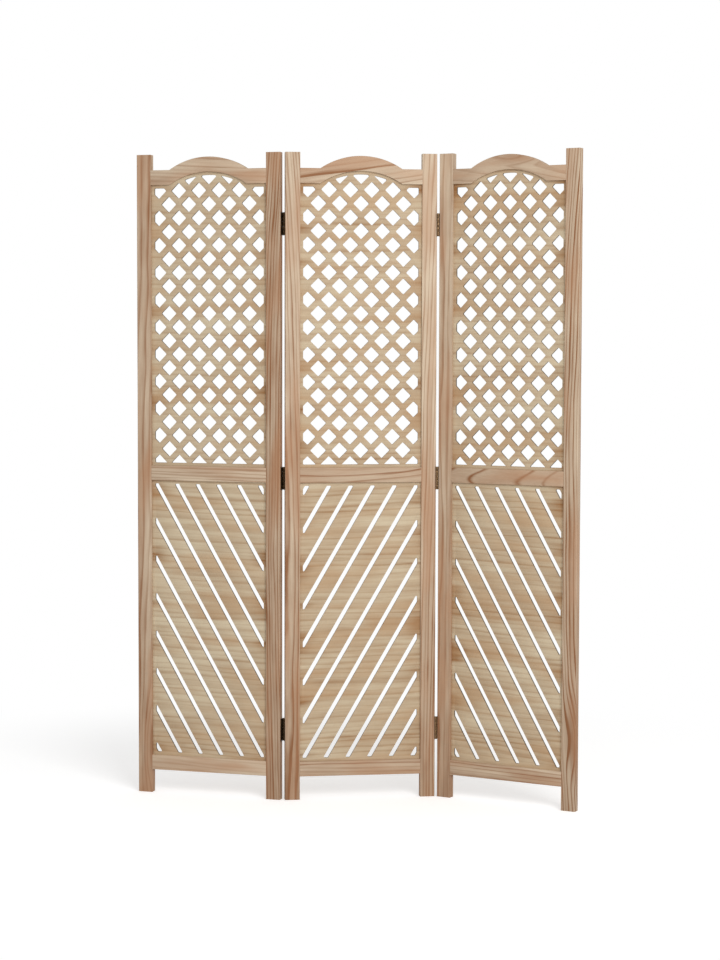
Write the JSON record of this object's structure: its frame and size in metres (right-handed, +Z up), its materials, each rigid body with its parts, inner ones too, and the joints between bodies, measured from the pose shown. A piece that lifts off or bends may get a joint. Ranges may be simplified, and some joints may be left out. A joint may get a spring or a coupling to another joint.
{
  "type": "folding screen",
  "caption": "Free-standing wooden folding screen whose hinged leaves hold a diamond lattice board under an arched rail above a board with slanting slots.",
  "frame": {"origin": "on the floor, under the middle of the screen's bounding box as it stands part open", "axes": "+Z up, +X along the centre leaf to the right as seen from the front, +Y to the back; the front faces -Y"},
  "size_m": [1.1124, 0.4304, 1.7],
  "materials": {
    "stile_wood": "planed pine, bare and matte, grain upright",
    "rail_wood": "planed pine, bare and matte, grain across",
    "board_wood": "thin sawn board, bare and matte, grain across",
    "hinge_bronze": "antique dark bronze plating",
    "screw_bronze": "antique dark bronze plating"
  },
  "bodies": {
    "centre_leaf": {"centre_leaf_left_stile": "stile_wood", "centre_leaf_right_stile": "stile_wood", "centre_leaf_top_rail": "rail_wood", "centre_leaf_middle_rail": "rail_wood", "centre_leaf_bottom_rail": "rail_wood", "centre_leaf_lattice_panel": "board_wood", "centre_leaf_slot_panel": "board_wood", "left_upper_hinge_centre_plate": "hinge_bronze", "left_middle_hinge_centre_plate": "hinge_bronze", "left_lower_hinge_centre_plate": "hinge_bronze", "left_hinge_centre_screws": "screw_bronze", "left_hinge_pins": "hinge_bronze", "right_upper_hinge_centre_plate": "hinge_bronze", "right_middle_hinge_centre_plate": "hinge_bronze", "right_lower_hinge_centre_plate": "hinge_bronze", "right_hinge_centre_screws": "screw_bronze", "right_hinge_pins": "hinge_bronze"},
    "left_leaf": {"left_leaf_left_stile": "stile_wood", "left_leaf_right_stile": "stile_wood", "left_leaf_top_rail": "rail_wood", "left_leaf_middle_rail": "rail_wood", "left_leaf_bottom_rail": "rail_wood", "left_leaf_lattice_panel": "board_wood", "left_leaf_slot_panel": "board_wood", "left_upper_hinge_outer_plate": "hinge_bronze", "left_middle_hinge_outer_plate": "hinge_bronze", "left_lower_hinge_outer_plate": "hinge_bronze", "left_hinge_outer_screws": "screw_bronze"},
    "right_leaf": {"right_leaf_left_stile": "stile_wood", "right_leaf_right_stile": "stile_wood", "right_leaf_top_rail": "rail_wood", "right_leaf_middle_rail": "rail_wood", "right_leaf_bottom_rail": "rail_wood", "right_leaf_lattice_panel": "board_wood", "right_leaf_slot_panel": "board_wood", "right_upper_hinge_outer_plate": "hinge_bronze", "right_middle_hinge_outer_plate": "hinge_bronze", "right_lower_hinge_outer_plate": "hinge_bronze", "right_hinge_outer_screws": "screw_bronze"}
  },
  "joints": [
    {"name": "left_fold", "type": "hinge", "parent": "centre_leaf", "child": "left_leaf", "pos_m": [-0.18094, 0.0524, 0.85], "axis": [0, 0, -1], "range_deg": [-24.45, 155.55]},
    {"name": "right_fold", "type": "hinge", "parent": "centre_leaf", "child": "right_leaf", "pos_m": [0.22306, 0.0254, 0.85], "axis": [0, 0, -1], "range_deg": [-37.37, 142.63]}
  ]
}
